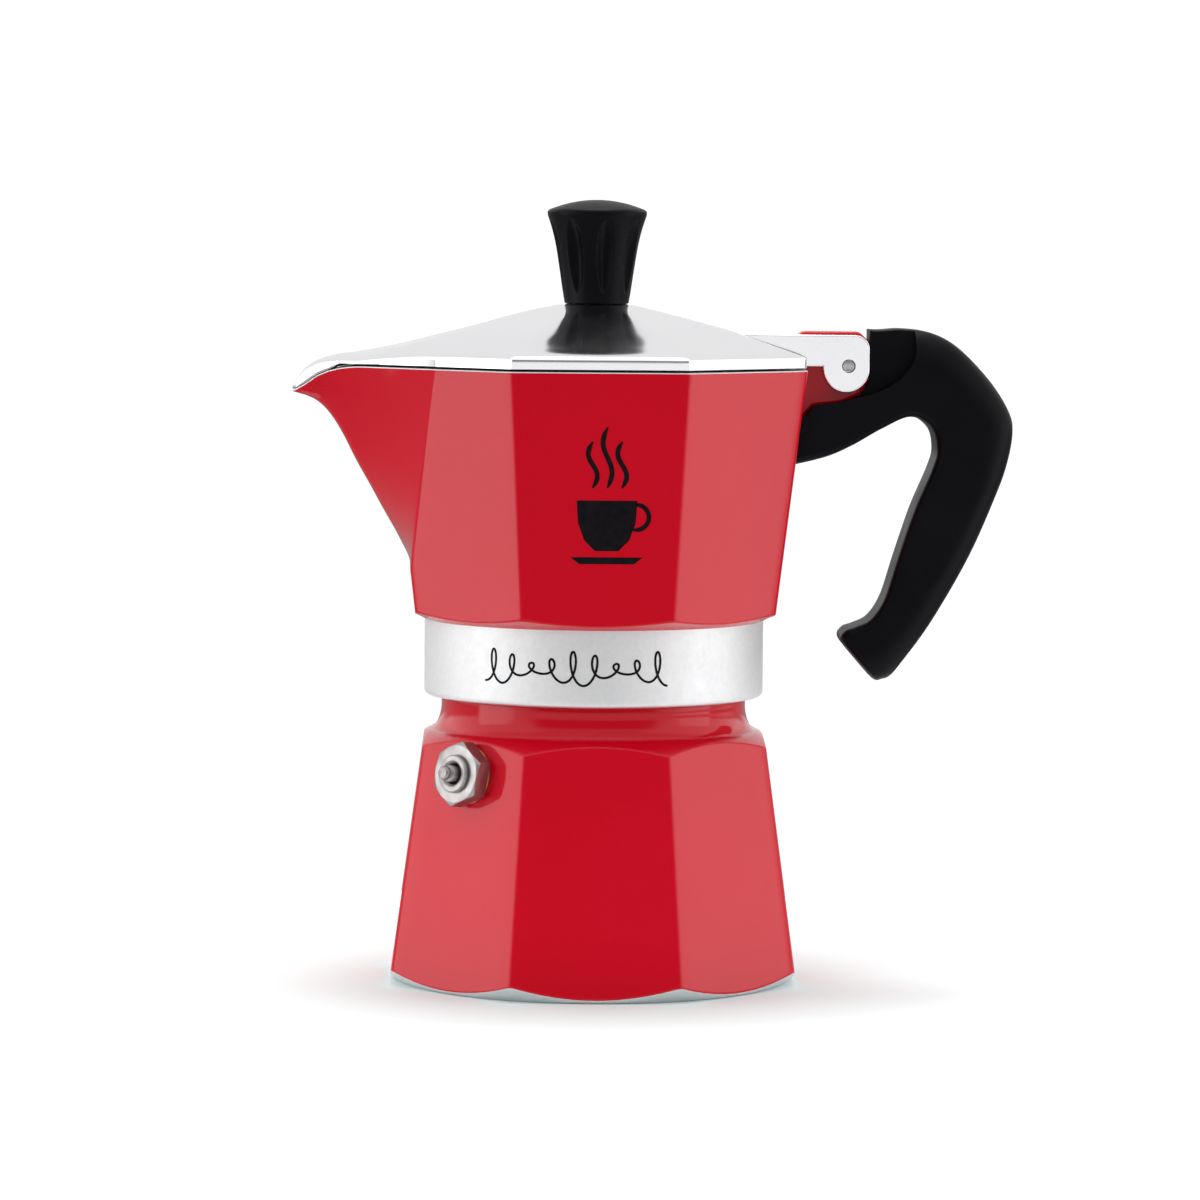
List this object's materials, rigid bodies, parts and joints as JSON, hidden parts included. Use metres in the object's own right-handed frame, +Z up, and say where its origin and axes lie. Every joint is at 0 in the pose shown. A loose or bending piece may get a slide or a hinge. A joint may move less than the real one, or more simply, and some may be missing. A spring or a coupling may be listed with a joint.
{
  "type": "moka pot",
  "caption": "Stovetop moka pot: octagonal red boiler with safety valve, coffee funnel, spouted collector with black handle, and hinged aluminium lid with knob.",
  "frame": {"origin": "centre of the boiler's flat base", "axes": "+Z up; the handle points along +X and the spout along -X; the front is -Y"},
  "size_m": [0.1527, 0.0878, 0.1651],
  "materials": {
    "red_enamel": "glossy red lacquer over cast aluminium, bare metal at machined edges",
    "bare_aluminium": "fine turned satin",
    "polished_aluminium": "polished casting with soft reflections",
    "black_plastic": "satin black moulded nylon",
    "steel": "bright machined steel",
    "nickel": "satin nickel plate on turned brass",
    "spring_steel": "drawn spring wire",
    "silicone": "matt off-white silicone",
    "copper": "soft copper washer",
    "brass": "turned brass"
  },
  "bodies": {
    "boiler": {"boiler": "red_enamel", "valve_washer": "copper", "valve_body": "nickel", "valve_seal": "silicone", "valve_spring": "spring_steel", "valve_bush": "nickel"},
    "valve_stem": {"valve_stem": "nickel"},
    "funnel": {"funnel": "bare_aluminium", "funnel_screen": "bare_aluminium"},
    "gasket": {"gasket": "silicone", "filter_plate": "bare_aluminium"},
    "collector": {"collector": "red_enamel", "brew_column": "bare_aluminium", "handle": "black_plastic", "handle_screw": "steel", "hinge_pin": "steel"},
    "lid": {"lid": "polished_aluminium", "knob": "black_plastic", "knob_insert": "brass", "knob_screw": "steel"}
  },
  "joints": [
    {"name": "valve_pull", "type": "slide", "parent": "boiler", "child": "valve_stem", "axis": [-0.7007, -0.7007, 0.1344], "range_m": [0, 0.0012], "stiffness_N_per_m": 900, "deforming": ["valve_spring"]},
    {"name": "lift_off", "type": "slide", "parent": "boiler", "child": "funnel", "axis": [0, 0, 1], "range_m": [0, 0.095]},
    {"name": "collector_rise", "type": "slide", "parent": "funnel", "child": "gasket", "axis": [0, 0, 1], "range_m": [0, 0.008]},
    {"name": "collector_unscrew", "type": "hinge", "parent": "gasket", "child": "collector", "pos_m": [0, 0, 0.0767], "axis": [0, 0, 1], "range_deg": [0, 720]},
    {"name": "lid_hinge", "type": "hinge", "parent": "collector", "child": "lid", "pos_m": [0.053, 0, 0.1306], "axis": [0, 1, 0], "range_deg": [0, 105]}
  ],
  "couplings": [
    {"joint": "collector_rise", "follows": "collector_unscrew", "m_per_rad": 0.0006366}
  ]
}
